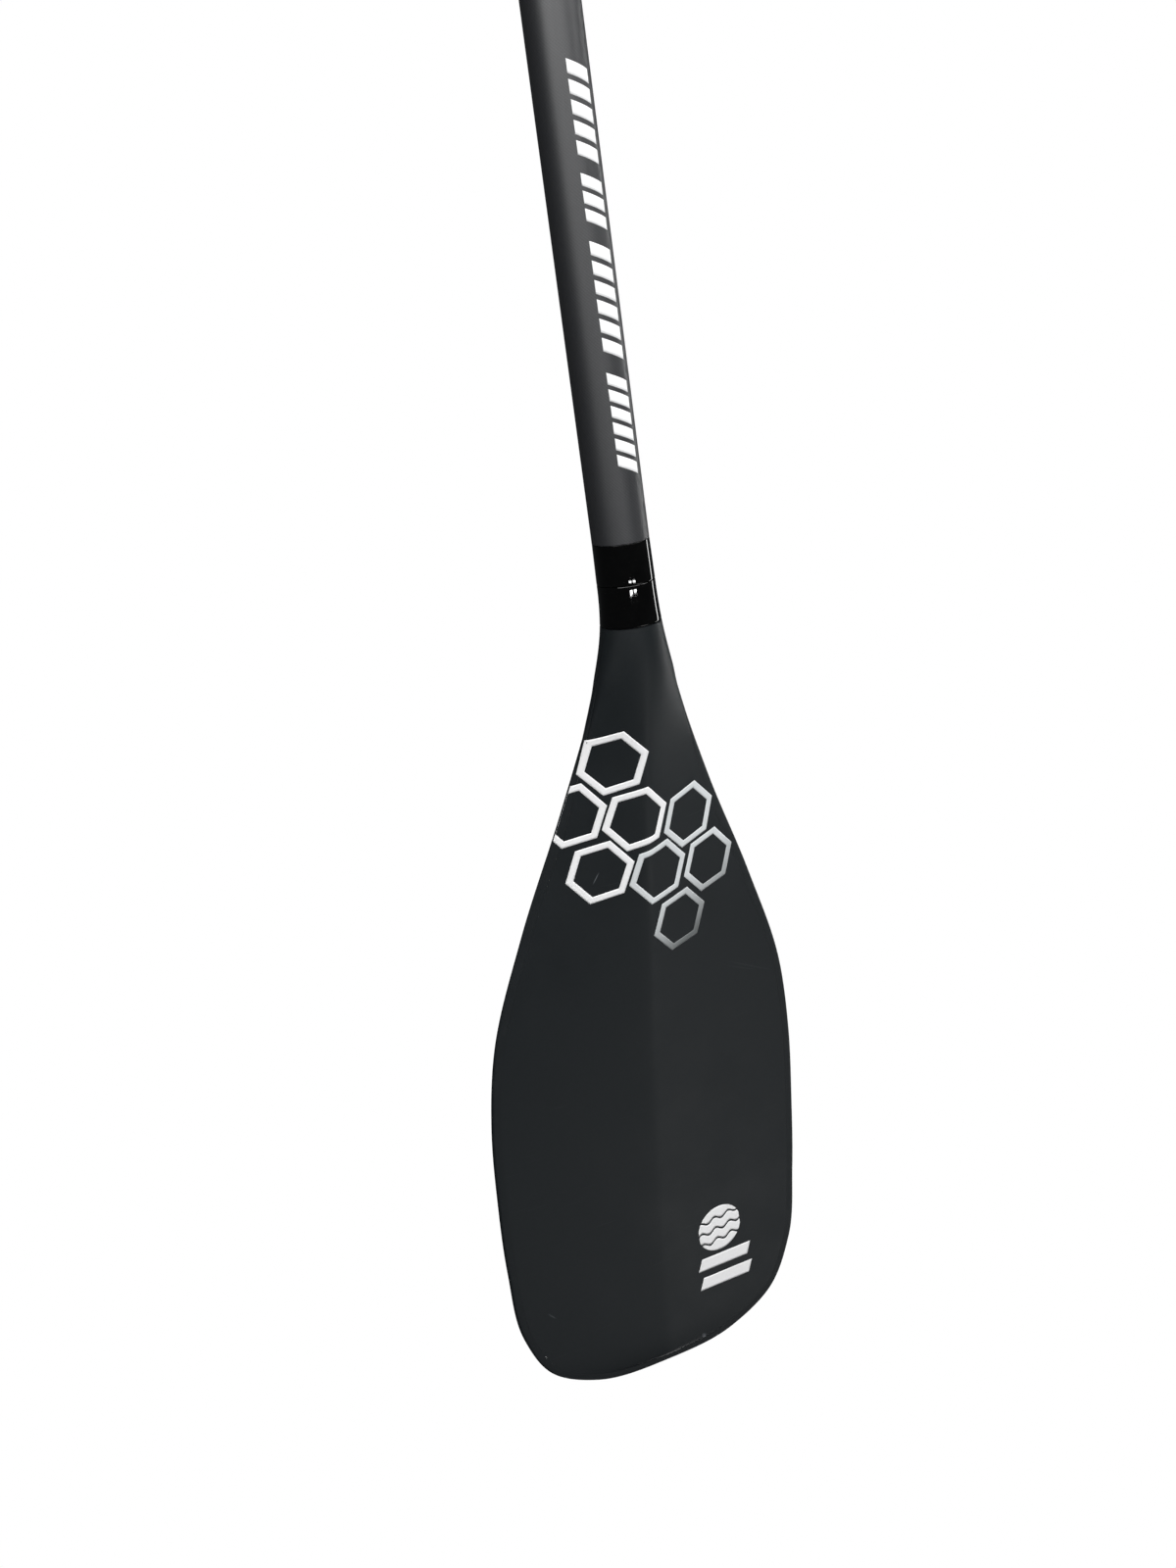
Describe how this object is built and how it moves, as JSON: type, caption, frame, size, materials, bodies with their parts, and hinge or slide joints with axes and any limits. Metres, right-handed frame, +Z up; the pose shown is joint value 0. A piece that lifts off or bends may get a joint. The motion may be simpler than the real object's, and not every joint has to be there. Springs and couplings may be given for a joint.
{
  "type": "single blade paddle",
  "caption": "Take-apart paddle with a leaning ridged blade, a tube shaft, a snap joint, a lever clamp, a sliding extension and a palm grip.",
  "frame": {"origin": "on the shaft's axis, where a clip or hand holds the paddle, 0.348 m above the take-apart seam", "axes": "+Z up the shaft, with the blade below; -Y the way the power face looks; +X across the blade"},
  "size_m": [0.2012, 0.1087, 1.6204],
  "materials": {
    "blade_matte": "satin resin skin over woven carbon, charcoal",
    "edge_black": "matte moulded edge strip",
    "foam": "rigid closed-cell foam",
    "gloss_black": "deep gloss resin sleeve",
    "carbon": "satin carbon tube with a fine weave",
    "plug_rubber": "matte rubber stopper",
    "steel": "brushed stainless steel",
    "black_plastic": "fine-grained moulded nylon",
    "lever_plastic": "fine-grained moulded nylon",
    "grip_plastic": "soft matte moulded grip"
  },
  "bodies": {
    "root": {"main_shaft": "carbon", "shaft_end_band": "gloss_black", "shaft_plug": "foam", "neck_band": "gloss_black", "blade_ferrule": "carbon", "ferrule_plug": "plug_rubber", "snap_spring": "steel", "blade_foam_core": "foam", "blade_power_face": "blade_matte", "blade_back_face": "blade_matte", "blade_edge_rail": "edge_black", "clamp_collar": "black_plastic", "clamp_bush": "black_plastic", "clamp_bolt": "steel", "clamp_washer": "steel", "clamp_pad": "steel", "clamp_pin": "steel"},
    "extension": {"extension_tube": "carbon", "extension_guide": "black_plastic", "extension_plug": "foam", "handle_stem": "black_plastic", "handle_ring": "gloss_black", "handle_front_shell": "grip_plastic", "handle_back_shell": "grip_plastic"},
    "lever": {"clamp_lever": "lever_plastic"},
    "button": {"snap_button": "steel"}
  },
  "joints": [
    {"name": "extension_slide", "type": "slide", "parent": "root", "child": "extension", "axis": [0, 0, 1], "range_m": [0, 0.45]},
    {"name": "lever_swing", "type": "hinge", "parent": "root", "child": "lever", "pos_m": [0.018, 0.0235, 0.434], "axis": [0, 0, 1], "range_deg": [0, 125]},
    {"name": "button_press", "type": "slide", "parent": "root", "child": "button", "axis": [0, -1, 0], "range_m": [0, 0.0045], "stiffness_N_per_m": 900, "springref_m": -0.001, "deforming": ["snap_spring"]}
  ]
}
